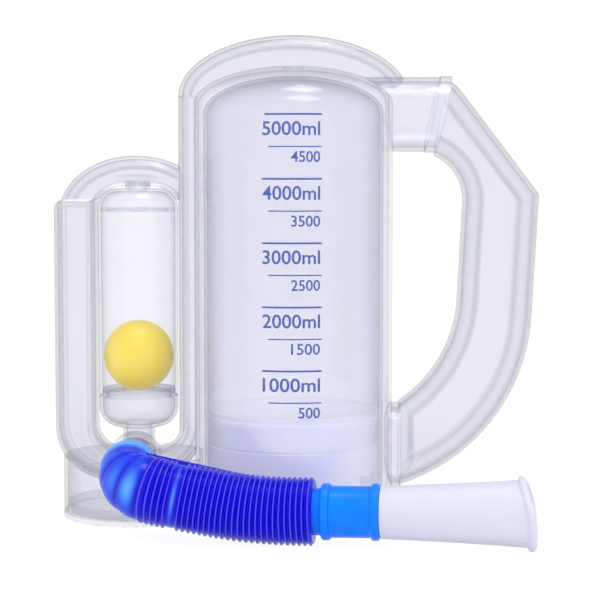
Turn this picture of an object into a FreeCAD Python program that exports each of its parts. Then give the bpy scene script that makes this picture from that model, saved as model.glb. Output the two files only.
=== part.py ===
"""Bedside breathing trainer (incentive spirometer) of the 5000 ml piston type, in millimetres.

A round measuring cylinder with a white piston stands inside a clear domed jacket. Beside it a narrow
tower holds the flow tube with its yellow ball. Moulded air ducts run round the flow tube and over the
dome, a hollow handle stands on the right, and a corrugated hose with a mouthpiece plugs into the front
of the narrow tower and lies on the table.

+X is to the right as the reader of the scale sees it, +Y goes to the back, +Z is up. The origin is on
the underside of the base, on the axis of the measuring cylinder.
"""

import FreeCAD, Part
import math
import os

V = FreeCAD.Vector
X_AXIS, Y_AXIS, Z_AXIS = V(1, 0, 0), V(0, 1, 0), V(0, 0, 1)
FAR = 400.0  # longer than the whole product, for cutting planes and through holes
cut_margin = 1.0  # how far a cutting tool runs past the face that it opens

# Base tray
tray_thickness = 2.4
tray_rim_height = 5.0
tray_rim_thickness = 1.4
tray_bridge_half_width = 17.0  # of the web that ties the two round ends of the tray
seat_clearance = 0.15  # between moulded pieces that seat in one another
vent_count = 8
vent_radius = 2.5
vent_circle_radius = 24.0

# Jacket and measuring cylinder
jacket_radius = 49.4
jacket_wall = 1.8
jacket_shoulder_z = 204.5
jacket_crown_z = 223.9
cylinder_radius = 44.75
cylinder_wall = 1.6
cylinder_shoulder_z = 200.5
cylinder_crown_z = 219.0
crown_vent_radius = 5.0

# Piston and its stand
piston_bottom_z = 36.4
piston_height = 17.1
piston_wall = 1.3
piston_top_thickness = 1.6
piston_running_gap = 0.75  # piston body to cylinder, bridged by the wiper ring
wiper_running_gap = 0.3
wiper_height = 2.2
wiper_depth = 1.2
wiper_drop = 3.0  # from the top of the piston to the wiper ring
piston_boss_radius = 7.0
piston_rib_count = 6
piston_rib_thickness = 1.2
piston_rest_gap = 0.3
stand_wall = 1.8
stand_window_count = 6
stand_window_width = 16.0
stand_window_height = 9.0
stand_shelf_width = 8.0

# Flow tower
plinth_radius = 36.75
tower_overlap = 7.65  # of the round plinth with the jacket's footprint
flow_x = tower_overlap - jacket_radius - plinth_radius  # axis of the round plinth
plinth_height = 30.2
plinth_wall = 1.8
window_shift = 1.0
window_x = flow_x + window_shift  # axis of the window in the duct ring and of the flow tube
window_half_width = 20.75
window_bottom_z = 33.0
window_corner_radius = 12.0
ring_left_reach = 40.75  # from the axis of the window to the left side of the ring
ring_left_x = window_x - ring_left_reach
ring_bottom_z = 18.6
ring_corner_radius = 27.0
ring_shoulder_radius = 4.5
ring_mouth = 1.0  # how far a duct's hollow runs past its open end
riser_width = 12.0  # right leg of the ring, which climbs to the dome duct
duct_half_depth = 13.5
duct_wall = 1.7
duct_edge_radius = 5.2
flow_cap_shift = 0.25
flow_cap_x = flow_x + flow_cap_shift
flow_cap_half_width = 38.0
flow_cap_rise = 29.0

# Flow tube, ball, seat and stop
tube_top_radius = 20.0
tube_bottom_radius = 19.7
tube_wall = 1.4
tube_bottom_z = 60.0
tube_top_z = 163.4
tube_top_corner = 9.5
tube_head_room = 1.1  # between the tube and the top of the window
window_top_z = tube_top_z + tube_head_room
flow_cap_over_window = 15.1
flow_cap_top_z = window_top_z + flow_cap_over_window
ring_below_window_top = 6.5  # the left leg of the duct ring ends under the flow duct's cap
ring_top_z = window_top_z - ring_below_window_top
ball_radius = 17.6
ball_wall = 1.0
ball_seat_gap = 0.3
seat_bore_radius = 7.5
seat_wall = 1.6
seat_bottom_z = 44.4
seat_corner_radius = 10.0
seat_plug_height = 3.9
stem_radius = 8.0
stem_wall = 1.4
stop_ring_width = 3.0
stop_ring_thickness = 1.8
stop_bar_width = 3.0
stop_hub_radius = 5.0
neck_radius = 6.0
neck_wall = 1.4
neck_height = 3.0

# Dome duct over the jacket
dome_duct_half_width = 56.75
dome_duct_rise = 30.0
dome_duct_over_crown = 14.8
dome_duct_top_z = jacket_crown_z + dome_duct_over_crown
dome_duct_edge_radius = 8.0

# Handle
handle_axis_z = 200.0  # axis of the upper socket
socket_radius = 18.4
socket_wall = 2.0
socket_foot_x = 70.5  # where the slanting end of the collar meets its underside
socket_slant_deg = 12.0
collar_width = 5.5
collar_proud = 0.5
handle_half_depth = 17.6
handle_edge_radius = 12.5
handle_wall = 2.0
handle_outer_x = 121.6
handle_facet_foot_z = 160.8
handle_facet_top_x = 77.5
handle_facet_corner = 9.0  # how far the corner above the facet is rounded off
handle_lean_deg = 3.0  # the grip leans in towards its foot
handle_outer_bend_z = 100.0
handle_outer_end_z = 14.6
handle_inner_x = 84.4
handle_inner_top_z = 156.0
handle_inner_bend_z = 108.0
handle_inner_end_z = 54.6
lower_socket_end_x = 53.0
lower_socket_proud = 0.6

# Hose port, hose, cuffs and mouthpiece
port_z = 30.0
boss_radius = 13.2
boss_front_y = -24.0
boss_rear_y = -9.0
boss_wall = 1.5
spigot_radius = 10.8
spigot_bore_radius = 9.0
spigot_rear_y = -14.5
spigot_front_y = -48.0
spigot_flange_y = -38.5
spigot_flange_thickness = 1.6
spigot_flange_radius = 12.6
cuff_turning_gap = 0.3
cuff_wall = 1.5
cuff_rear_y = -40.6
cuff_front_y = -50.0
cuff_bead_height = 0.9
cuff_bead_width = 3.0
hose_radius = 15.85
hose_root_depth = 2.0  # from the crest of a corrugation to its root
hose_neck_radius = 12.4  # crest radius of the stretched corrugations beside the port
hose_bore_radius = 10.4
hose_bore_steps = 12
hose_route = [
    (flow_x, cuff_front_y, port_z),
    (flow_x, -55.5, port_z),
    (-77.6, -63.5, 27.4),
    (-68.0, -70.6, 24.6),
    (-52.0, -71.6, 21.2),
    (-37.6, -72.8, 18.8),
    (-23.0, -75.0, 16.7),
]
hose_end = (9.7, -79.4, 16.1)
hose_end_steps = (16.0, 8.0, 0.0)  # the last points of the hose lie on the outlet's own line
stretched_count = 4
dense_count = 5
regular_count = 23
stretched_share = 2.3  # pitch of a stretched corrugation against a regular one
outlet_yaw_deg = -7.6
outlet_pitch_deg = 0.85
outlet_cuff_length = 30.5
outlet_neck_length = 3.6
outlet_neck_radius = 10.9
outlet_cuff_radius = 11.9
outlet_bead_radius = 13.1
outlet_bead_width = 4.2
mouthpiece_spigot_length = 14.0
mouthpiece_gap = 0.3
mouthpiece_wall = 1.4
mouthpiece_length = 70.5
mouthpiece_start_radius = 12.1
mouthpiece_end_radius = 15.3
lip_radius = 17.2
lip_thickness = 3.4
lip_slant_deg = 7.0


def cylinder_x(radius, x_low, x_high, z, y=0.0):
    return Part.makeCylinder(radius, x_high - x_low, V(x_low, y, z), X_AXIS)


def cylinder_y(radius, y_low, y_high, x, z):
    return Part.makeCylinder(radius, y_high - y_low, V(x, y_low, z), Y_AXIS)


def cylinder_z(radius, z_low, z_high, x=0.0, y=0.0):
    return Part.makeCylinder(radius, z_high - z_low, V(x, y, z_low), Z_AXIS)


def box(x_low, x_high, y_low, y_high, z_low, z_high):
    return Part.makeBox(x_high - x_low, y_high - y_low, z_high - z_low, V(x_low, y_low, z_low))


def line(a, b):
    return Part.LineSegment(V(*a), V(*b)).toShape()


def arc(a, middle, b):
    return Part.Arc(V(*a), V(*middle), V(*b)).toShape()


def tangent_arc(before, start, end):
    """An arc from start to end that carries on smoothly from the line between before and start."""
    a, b = V(*start), V(*end)
    normal = (a - V(*before)).normalize().cross(Y_AXIS)
    chord = b - a
    radius = chord.dot(chord) / (2 * chord.dot(normal))
    centre = a + normal * radius
    middle = centre + ((a - centre) + (b - centre)).normalize() * abs(radius)
    return Part.Arc(a, middle, b).toShape()


def front_view(x, z):
    """A point of a front view outline."""
    return (x, 0.0, z)


def revolve_about_z(points, x=0.0):
    """Turns a closed outline of radius and height points about the vertical line at x."""
    corners = [V(x + r, 0, z) for r, z in points]
    face = Part.Face(Part.makePolygon(corners + corners[:1]))
    return face.revolve(V(x, 0, 0), Z_AXIS, 360)


def revolve_about_x(points):
    """Turns a closed outline of x and radius points about the X axis."""
    corners = [V(x, 0, r) for x, r in points]
    face = Part.Face(Part.makePolygon(corners + corners[:1]))
    return face.revolve(V(0, 0, 0), X_AXIS, 360)


def dome_arc(radius, shoulder_z, crown_z, x=0.0, sweep=math.pi / 2):
    """The right quarter, or the upper half, of an ellipse standing in the front view."""
    ellipse = Part.Ellipse(V(0, 0, 0), radius, crown_z - shoulder_z)
    edge = Part.ArcOfEllipse(ellipse, 0, sweep).toShape()
    edge.Placement = FreeCAD.Placement(V(x, 0, shoulder_z), FreeCAD.Rotation(X_AXIS, 90))
    return edge


def domed_post(radius, foot_z, shoulder_z, crown_z):
    """A solid post with an elliptical dome on top."""
    edges = [
        line((0, 0, foot_z), (radius, 0, foot_z)),
        line((radius, 0, foot_z), (radius, 0, shoulder_z)),
        dome_arc(radius, shoulder_z, crown_z),
        line((0, 0, crown_z), (0, 0, foot_z)),
    ]
    return Part.Face(Part.Wire(edges)).revolve(V(0, 0, 0), Z_AXIS, 360)


def front_moulding(face, half_depth, edge_radius, sharp_heights=()):
    """A front view face made into the front half of a duct, its front edges rounded except at open ends."""
    slab = face.extrude(V(0, -half_depth, 0))
    edges = []
    for edge in slab.Edges:
        limits = edge.BoundBox
        lies_flat = limits.YLength < 1e-6 and abs(limits.YMin + half_depth) < 1e-6
        at_open_end = any(abs(limits.ZMin - z) + abs(limits.ZMax - z) < 1e-6 for z in sharp_heights)
        if lies_flat and not at_open_end:
            edges.append(edge)
    return slab.makeFillet(edge_radius, edges)


def mirrored_back(shape):
    """The rear moulding that closes on a front one."""
    return shape.mirror(V(0, 0, 0), Y_AXIS)


def jacket_seat():
    """The space that the jacket takes, with the clearance of whatever is fitted against it."""
    return domed_post(
        jacket_radius + seat_clearance, -FAR, jacket_shoulder_z, jacket_crown_z + seat_clearance
    )


def base_tray():
    plate = cylinder_z(jacket_radius, 0, tray_thickness)
    plate = plate.fuse(cylinder_z(plinth_radius, 0, tray_thickness, flow_x))
    half = tray_bridge_half_width
    plate = plate.fuse(box(flow_x, 0, -half, half, 0, tray_thickness))
    rim_top = tray_thickness + tray_rim_height
    rim = cylinder_z(jacket_radius - jacket_wall - seat_clearance, tray_thickness, rim_top)
    rim = rim.cut(cylinder_z(cylinder_radius + seat_clearance, tray_thickness, rim_top))
    flow_rim_radius = plinth_radius - plinth_wall - seat_clearance
    flow_rim = cylinder_z(flow_rim_radius, tray_thickness, rim_top, flow_x)
    flow_rim = flow_rim.cut(cylinder_z(flow_rim_radius - tray_rim_thickness, 0, rim_top, flow_x))
    flow_rim = flow_rim.cut(jacket_seat())
    tray = plate.fuse([rim, flow_rim]).removeSplitter()
    for i in range(vent_count):
        angle = 2 * math.pi * i / vent_count
        x, y = vent_circle_radius * math.cos(angle), vent_circle_radius * math.sin(angle)
        tray = tray.cut(cylinder_z(vent_radius, -cut_margin, tray_thickness + cut_margin, x, y))
    return tray


def flow_plinth():
    wall = cylinder_z(plinth_radius, tray_thickness, plinth_height, flow_x)
    wall = wall.cut(cylinder_z(plinth_radius - plinth_wall, 0, FAR, flow_x))
    ring = duct_ring_half(-seat_clearance)
    wall = wall.cut(jacket_seat()).cut(ring).cut(mirrored_back(ring))
    return wall.cut(cylinder_y(spigot_radius + seat_clearance, -FAR, 0, flow_x, port_z))


def outer_jacket():
    shell = domed_post(jacket_radius, tray_thickness, jacket_shoulder_z, jacket_crown_z)
    inside = domed_post(
        jacket_radius - jacket_wall, 0, jacket_shoulder_z, jacket_crown_z - jacket_wall
    )
    return shell.cut(inside).cut(cylinder_z(crown_vent_radius, cylinder_shoulder_z, FAR))


def measuring_cylinder():
    shell = domed_post(cylinder_radius, tray_thickness, cylinder_shoulder_z, cylinder_crown_z)
    inside = domed_post(
        cylinder_radius - cylinder_wall, 0, cylinder_shoulder_z, cylinder_crown_z - cylinder_wall
    )
    return shell.cut(inside).cut(cylinder_z(crown_vent_radius, cylinder_shoulder_z, FAR))


def piston_stand():
    """The open white ring on which the piston rests, with windows for the air that follows it up."""
    radius = cylinder_radius - cylinder_wall - seat_clearance
    top = piston_bottom_z - piston_rest_gap
    stand = revolve_about_z([
        (radius, tray_thickness),
        (radius, top),
        (radius - stand_shelf_width, top),
        (radius - stand_shelf_width, top - stand_wall),
        (radius - stand_wall, top - stand_wall),
        (radius - stand_wall, tray_thickness),
    ])
    middle = (tray_thickness + top) / 2
    for i in range(stand_window_count):
        window = box(
            0, FAR, -stand_window_width / 2, stand_window_width / 2,
            middle - stand_window_height / 2, middle + stand_window_height / 2,
        )
        window.rotate(V(0, 0, 0), Z_AXIS, 360 * (i + 0.5) / stand_window_count)
        stand = stand.cut(window)
    return stand


def piston_sizes():
    """The piston's radius, the bottom radius of its groove, and the groove's lower and upper heights."""
    radius = cylinder_radius - cylinder_wall - piston_running_gap
    groove_top = piston_bottom_z + piston_height - wiper_drop
    return radius, radius - wiper_depth, groove_top - wiper_height, groove_top


def piston_body():
    radius, groove_radius, groove_low, groove_high = piston_sizes()
    top = piston_bottom_z + piston_height
    under_top = top - piston_top_thickness
    collar_low = groove_low - piston_wall
    body = revolve_about_z([
        (0, top),
        (radius, top),
        (radius, groove_high),
        (groove_radius, groove_high),
        (groove_radius, groove_low),
        (radius, groove_low),
        (radius, piston_bottom_z),
        (radius - piston_wall, piston_bottom_z),
        (radius - piston_wall, collar_low),
        (groove_radius - piston_wall, collar_low),
        (groove_radius - piston_wall, under_top),
        (0, under_top),
    ])
    boss = cylinder_z(piston_boss_radius, collar_low, top)
    ribs = []
    for i in range(piston_rib_count):
        rib = box(
            0, groove_radius - piston_wall / 2, -piston_rib_thickness / 2, piston_rib_thickness / 2,
            collar_low, top - piston_top_thickness / 2,
        )
        rib.rotate(V(0, 0, 0), Z_AXIS, 360 * i / piston_rib_count)
        ribs.append(rib)
    return body.fuse([boss] + ribs).removeSplitter()


def piston_wiper():
    _, groove_radius, groove_low, groove_high = piston_sizes()
    ring = cylinder_z(cylinder_radius - cylinder_wall - wiper_running_gap, groove_low, groove_high)
    return ring.cut(cylinder_z(groove_radius, groove_low, groove_high))


def duct_ring_face(inset):
    """The U shaped duct round the flow tube with the riser on its right, drawn in the front view."""
    mouth = ring_mouth if inset > 0 else 0.0
    shoulder = ring_shoulder_radius if inset <= 0 else ring_shoulder_radius - inset + mouth
    riser_top_z = dome_duct_top_z - dome_duct_rise + mouth
    left, bottom, left_top = ring_left_x + inset, ring_bottom_z + inset, ring_top_z + mouth
    right = window_x + window_half_width + riser_width - inset
    inner_left = window_x - window_half_width - inset
    inner_right = window_x + window_half_width + inset
    inner_bottom = window_bottom_z - inset
    outer_r, inner_r = ring_corner_radius - inset, window_corner_radius + inset
    bow = 1 - math.sqrt(0.5)  # from a corner to the middle of its arc, in radii
    p = front_view
    edges = [
        arc(p(left + shoulder, left_top), p(left + bow * shoulder, left_top - bow * shoulder),
            p(left, left_top - shoulder)),
        line(p(left, left_top - shoulder), p(left, bottom + outer_r)),
        arc(p(left, bottom + outer_r), p(left + bow * outer_r, bottom + bow * outer_r),
            p(left + outer_r, bottom)),
        line(p(left + outer_r, bottom), p(right - outer_r, bottom)),
        arc(p(right - outer_r, bottom), p(right - bow * outer_r, bottom + bow * outer_r),
            p(right, bottom + outer_r)),
        line(p(right, bottom + outer_r), p(right, riser_top_z)),
        line(p(right, riser_top_z), p(inner_right, riser_top_z)),
        line(p(inner_right, riser_top_z), p(inner_right, inner_bottom + inner_r)),
        arc(p(inner_right, inner_bottom + inner_r),
            p(inner_right - bow * inner_r, inner_bottom + bow * inner_r),
            p(inner_right - inner_r, inner_bottom)),
        line(p(inner_right - inner_r, inner_bottom), p(inner_left + inner_r, inner_bottom)),
        arc(p(inner_left + inner_r, inner_bottom),
            p(inner_left + bow * inner_r, inner_bottom + bow * inner_r),
            p(inner_left, inner_bottom + inner_r)),
        line(p(inner_left, inner_bottom + inner_r), p(inner_left, left_top)),
        line(p(inner_left, left_top), p(left + shoulder, left_top)),
    ]
    return Part.Face(Part.Wire(edges)), (left_top, riser_top_z)


def duct_ring_half(inset):
    face, open_ends = duct_ring_face(inset)
    return front_moulding(face, duct_half_depth - inset, duct_edge_radius - max(inset, 0), open_ends)


def duct_halves():
    """The front and rear mouldings that close on each other to make the duct ring and its riser."""
    stem_hole = cylinder_z(stem_radius + seat_clearance, ring_bottom_z + duct_wall, FAR, window_x)
    trim = jacket_seat().fuse(stem_hole)
    plain = duct_ring_half(0.0).cut(duct_ring_half(duct_wall))
    boss = cylinder_y(boss_radius, boss_front_y, boss_rear_y, flow_x, port_z)
    hollow = duct_ring_half(duct_wall)
    seat = cylinder_y(spigot_radius, boss_front_y - cut_margin, spigot_rear_y, flow_x, port_z)
    bore = cylinder_y(spigot_bore_radius, boss_front_y, boss_rear_y - boss_wall, flow_x, port_z)
    front = duct_ring_half(0.0).fuse(boss).cut(hollow).cut(seat).cut(bore).cut(trim)
    return front, mirrored_back(plain).cut(trim)


def duct_window(grow):
    """The round cornered opening in which the flow tube stands, as a tool that cuts right through."""
    half, corner = window_half_width + grow, window_corner_radius + grow
    block = box(window_x - half, window_x + half, -FAR, FAR, window_bottom_z, window_top_z + grow)
    top_edges = [
        edge for edge in block.Edges
        if edge.BoundBox.YLength > FAR and edge.BoundBox.ZMin > window_bottom_z + corner
    ]
    return block.makeFillet(corner, top_edges)


def arch_half(x, half_width, rise, top_z, inset):
    """The front half of an arched duct, a half ellipse standing in the front view."""
    radius, low_z = half_width - inset, top_z - rise
    edges = [
        dome_arc(radius, low_z, top_z - inset, x, math.pi),
        line(front_view(x - radius, low_z), front_view(x + radius, low_z)),
    ]
    face = Part.Face(Part.Wire(edges))
    return front_moulding(face, duct_half_depth - inset, dome_duct_edge_radius - inset, (low_z,))


def both_halves(front):
    return front.fuse(mirrored_back(front)).removeSplitter()


def flow_duct_cap():
    right = window_x + window_half_width - seat_clearance
    neck_top = window_top_z + neck_height
    neck = cylinder_z(neck_radius + seat_clearance, window_top_z - cut_margin, neck_top, window_x)
    sizes = flow_cap_x, flow_cap_half_width, flow_cap_rise, flow_cap_top_z
    outside = arch_half(*sizes, 0.0).cut(duct_window(0.0))
    inside = arch_half(*sizes, duct_wall).cut(duct_window(duct_wall))
    cap = outside.cut(inside).cut(neck).common(box(-FAR, right, -FAR, 0, ring_top_z, FAR))
    return both_halves(cap)


def dome_duct():
    sizes = 0.0, dome_duct_half_width, dome_duct_rise, dome_duct_top_z
    duct = arch_half(*sizes, 0.0).cut(arch_half(*sizes, duct_wall)).cut(jacket_seat())
    duct = duct.cut(cylinder_x(socket_radius + seat_clearance, 0, FAR, handle_axis_z))
    return both_halves(max(duct.Solids, key=lambda solid: solid.Volume))


def tube_inner_radius(z):
    share = (z - tube_bottom_z) / (tube_top_z - tube_bottom_z)
    return tube_bottom_radius + (tube_top_radius - tube_bottom_radius) * share - tube_wall


def flow_tube_solid(inset):
    """The slightly tapered flow tube with its rounded top, as a solid of revolution."""
    low, top, corner = tube_bottom_z, tube_top_z - inset, tube_top_corner - inset
    bottom_r, top_r = tube_bottom_radius - inset, tube_top_radius - inset
    x = window_x
    bow = 1 - math.sqrt(0.5)
    edges = [
        line(front_view(x, low), front_view(x + bottom_r, low)),
        line(front_view(x + bottom_r, low), front_view(x + top_r, top - corner)),
        arc(front_view(x + top_r, top - corner), front_view(x + top_r - bow * corner, top - bow * corner),
            front_view(x + top_r - corner, top)),
        line(front_view(x + top_r - corner, top), front_view(x, top)),
        line(front_view(x, top), front_view(x, low)),
    ]
    return Part.Face(Part.Wire(edges)).revolve(V(x, 0, 0), Z_AXIS, 360)


def flow_tube():
    neck_top = window_top_z + neck_height
    tube = flow_tube_solid(0.0).fuse(cylinder_z(neck_radius, tube_top_z - tube_wall, neck_top, window_x))
    tube = tube.cut(flow_tube_solid(tube_wall))
    return tube.cut(cylinder_z(neck_radius - neck_wall, tube_top_z - 2 * tube_wall, FAR, window_x))


def seat_cup(inset):
    """The round bottomed cup under the flow tube, solid, drawn in by the inset all round."""
    x, low, radius = window_x, seat_bottom_z + inset, tube_bottom_radius - inset
    corner = seat_corner_radius - inset
    bow = 1 - math.sqrt(0.5)
    top = tube_bottom_z if inset == 0 else tube_bottom_z + seat_plug_height - inset
    edges = [
        line(front_view(x, low), front_view(x + radius - corner, low)),
        arc(front_view(x + radius - corner, low), front_view(x + radius - bow * corner, low + bow * corner),
            front_view(x + radius, low + corner)),
        line(front_view(x + radius, low + corner), front_view(x + radius, top)),
        line(front_view(x + radius, top), front_view(x, top)),
        line(front_view(x, top), front_view(x, low)),
    ]
    return Part.Face(Part.Wire(edges)).revolve(V(x, 0, 0), Z_AXIS, 360)


def ball_seat():
    plug_top = tube_bottom_z + seat_plug_height
    plug_radius = tube_inner_radius(tube_bottom_z) - seat_clearance
    plug = cylinder_z(plug_radius, tube_bottom_z - seat_wall, plug_top, window_x)
    stem_low = ring_bottom_z + 2 * duct_wall
    stem = cylinder_z(stem_radius, stem_low, seat_bottom_z + seat_wall, window_x)
    hollow = seat_cup(seat_wall).common(cylinder_z(plug_radius - seat_wall, 0, FAR, window_x))
    lower_hollow = seat_cup(seat_wall).common(cylinder_z(FAR, 0, tube_bottom_z - seat_wall, window_x))
    seat = seat_cup(0.0).fuse([plug, stem]).cut(hollow.fuse(lower_hollow))
    seat = seat.cut(cylinder_z(stem_radius - stem_wall, 0, seat_bottom_z + 2 * seat_wall, window_x))
    return seat.cut(cylinder_z(seat_bore_radius, plug_top - 2 * seat_wall, FAR, window_x))


def ball_stop():
    """The spoked ring that keeps the ball out of the neck of the flow tube."""
    high = tube_top_z - tube_top_corner
    low = high - stop_ring_thickness
    radius = tube_inner_radius(low) - seat_clearance
    ring = cylinder_z(radius, low, high, window_x)
    ring = ring.cut(cylinder_z(radius - stop_ring_width, 0, FAR, window_x))
    reach = radius - stop_ring_width / 2
    half = stop_bar_width / 2
    bars = [
        box(window_x - reach, window_x + reach, -half, half, low, high),
        box(window_x - half, window_x + half, -reach, reach, low, high),
        cylinder_z(stop_hub_radius, low, high, window_x),
    ]
    return ring.fuse(bars).removeSplitter()


def ball_centre():
    """The ball rests a running gap above the rim of the seat's bore."""
    seat_top = tube_bottom_z + seat_plug_height
    return seat_top + ball_seat_gap + math.sqrt(ball_radius ** 2 - seat_bore_radius ** 2)


def float_ball():
    centre = V(window_x, 0, ball_centre())
    return Part.makeSphere(ball_radius, centre).cut(Part.makeSphere(ball_radius - ball_wall, centre))


def right_of_slant(foot_x):
    """Everything to the right of the slanting plane on which the upper socket ends."""
    foot_z = handle_axis_z - socket_radius
    half_space = box(foot_x, foot_x + FAR, -FAR, FAR, foot_z - FAR, foot_z + FAR)
    half_space.rotate(V(foot_x, 0, foot_z), Y_AXIS, socket_slant_deg)
    return half_space


def upper_socket():
    tube = cylinder_x(socket_radius, 0, FAR, handle_axis_z)
    tube = tube.cut(cylinder_x(socket_radius - socket_wall, 0, FAR, handle_axis_z))
    return tube.cut(jacket_seat()).cut(right_of_slant(socket_foot_x - collar_width))


def handle_collar():
    """The slanting band at the end of the upper socket, on which the handle is welded."""
    ring = cylinder_x(socket_radius + collar_proud, 0, FAR, handle_axis_z)
    ring = ring.cut(cylinder_x(socket_radius - socket_wall, 0, FAR, handle_axis_z))
    return ring.common(right_of_slant(socket_foot_x - collar_width)).cut(right_of_slant(socket_foot_x))


def handle_face():
    """The handle's outline in the front view: a tube with one flat facet at its upper bend."""
    top, under = handle_axis_z + socket_radius, handle_axis_z - socket_radius
    start_x, end_x = jacket_radius, jacket_radius
    lean = math.tan(math.radians(handle_lean_deg))
    outer_bend_x = handle_outer_x - lean * (handle_facet_foot_z - handle_outer_bend_z)
    inner_bend_x = handle_inner_x - lean * (handle_inner_top_z - handle_inner_bend_z)
    shoulder_radius = (under - handle_inner_top_z) / (1 + math.sin(math.radians(handle_lean_deg)))
    shoulder_x = handle_inner_x - shoulder_radius * math.cos(math.radians(handle_lean_deg))
    facet_foot = front_view(handle_outer_x, handle_facet_foot_z)
    outer_bend = front_view(outer_bend_x, handle_outer_bend_z)
    inner_bend = front_view(inner_bend_x, handle_inner_bend_z)
    inner_top = front_view(handle_inner_x, handle_inner_top_z)
    corner = V(handle_facet_top_x, 0, top)
    facet_way = (V(*facet_foot) - corner).normalize()
    corner_start = front_view(handle_facet_top_x - handle_facet_corner, top)
    corner_end = corner + facet_way * handle_facet_corner
    edges = [
        line(front_view(start_x, top), corner_start),
        tangent_arc(front_view(start_x, top), corner_start, corner_end),
        line(corner_end, facet_foot),
        line(facet_foot, outer_bend),
        tangent_arc(facet_foot, outer_bend, front_view(end_x, handle_outer_end_z)),
        line(front_view(end_x, handle_outer_end_z), front_view(end_x, handle_inner_end_z)),
        tangent_arc(inner_top, inner_bend, front_view(end_x, handle_inner_end_z)),
        line(inner_bend, inner_top),
        tangent_arc(inner_bend, inner_top, front_view(shoulder_x, under)),
        line(front_view(shoulder_x, under), front_view(start_x, under)),
        line(front_view(start_x, under), front_view(start_x, top)),
    ]
    return Part.Face(Part.Wire(Part.__sortEdges__(edges)))


def handle_halves():
    outline = handle_face()
    outside = front_moulding(outline, handle_half_depth, handle_edge_radius)
    inside = front_moulding(
        outline.makeOffset2D(-handle_wall), handle_half_depth - handle_wall, handle_edge_radius - handle_wall
    )
    keep = right_of_slant(socket_foot_x)
    keep = keep.common(box(lower_socket_end_x, FAR, -FAR, FAR, -FAR, FAR))
    front = outside.common(keep).cut(inside)
    return front, mirrored_back(front)


def rounded_bar(x_low, x_high, z_low, z_high, half_depth, corner):
    """A bar along X with rounded long edges."""
    bar = box(x_low, x_high, -half_depth, half_depth, z_low, z_high)
    return bar.makeFillet(corner, [e for e in bar.Edges if e.BoundBox.XLength > x_high - x_low - 1e-6])


def lower_socket():
    """The short moulded socket that carries the handle's lower end on the jacket."""
    low, high = handle_outer_end_z - lower_socket_proud, handle_inner_end_z + 2 * lower_socket_proud
    half = handle_half_depth + lower_socket_proud
    outer = rounded_bar(0, lower_socket_end_x, low, high, half, handle_edge_radius)
    wall = lower_socket_proud + handle_wall
    bore = rounded_bar(
        -cut_margin, lower_socket_end_x + cut_margin, low + wall, high - wall, half - wall, handle_edge_radius - wall
    )
    return outer.cut(bore).cut(jacket_seat())


def port_spigot():
    tube = cylinder_y(spigot_radius, spigot_front_y, spigot_rear_y, flow_x, port_z)
    flange_front_y = spigot_flange_y - spigot_flange_thickness
    flange = cylinder_y(spigot_flange_radius, flange_front_y, spigot_flange_y, flow_x, port_z)
    tube = tube.fuse(flange).removeSplitter()
    return tube.cut(cylinder_y(spigot_bore_radius, -FAR, 0, flow_x, port_z))


def inlet_cuff():
    bore = spigot_radius + cuff_turning_gap
    outer = bore + cuff_wall
    cuff = cylinder_y(outer, cuff_front_y, cuff_rear_y, flow_x, port_z)
    beads = []
    for y in (cuff_front_y, cuff_rear_y - cuff_bead_width):
        beads.append(cylinder_y(outer + cuff_bead_height, y, y + cuff_bead_width, flow_x, port_z))
    return cuff.fuse(beads).removeSplitter().cut(cylinder_y(bore, -FAR, 0, flow_x, port_z))


def outlet_direction():
    yaw, pitch = math.radians(outlet_yaw_deg), math.radians(outlet_pitch_deg)
    return V(math.cos(yaw) * math.cos(pitch), math.sin(yaw) * math.cos(pitch), math.sin(pitch))


def place_on_outlet(shape):
    """Moves a piece that was made along +X from the origin to the end of the hose."""
    shape = shape.copy()
    turn = FreeCAD.Rotation(X_AXIS, outlet_direction())
    shape.Placement = FreeCAD.Placement(V(*hose_end), turn)
    return shape


def hose_curve():
    points = [V(*p) for p in hose_route]
    points += [V(*hose_end) - outlet_direction() * step for step in hose_end_steps]
    curve = Part.BSplineCurve()
    curve.buildFromPoles(points, False, 3)
    return curve


def ring_on_curve(curve, distance, radius):
    """A circle square to the hose's line, that far along it."""
    at = curve.parameterAtDistance(distance, curve.FirstParameter)
    return Part.Wire(Part.Circle(curve.value(at), curve.tangent(at)[0], radius).toShape())


def corrugated_hose():
    curve = hose_curve()
    pitches = [stretched_share] * stretched_count + [1.0] * dense_count
    pitches += [stretched_share] + [1.0] * regular_count
    pitch = curve.length() / sum(pitches)
    rings, along = [ring_on_curve(curve, 0.0, hose_neck_radius - hose_root_depth / 2)], 0.0
    for number, share in enumerate(pitches):
        widening = min(1.0, (number + 1) / stretched_count)
        crest = hose_neck_radius + (hose_radius - hose_neck_radius) * widening
        rings.append(ring_on_curve(curve, along + pitch * share / 2, crest))
        along += pitch * share
        rings.append(ring_on_curve(curve, min(along, curve.length()), crest - hose_root_depth))
    outside = Part.makeLoft(rings, True, True)
    bore_rings = []
    for i in range(hose_bore_steps + 1):
        bore_rings.append(ring_on_curve(curve, curve.length() * i / hose_bore_steps, hose_bore_radius))
    bore = Part.makeLoft(bore_rings, True)
    print("hose length %.1f mm, pitch %.2f mm" % (curve.length(), pitch))
    return outside.cut(bore)


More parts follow.
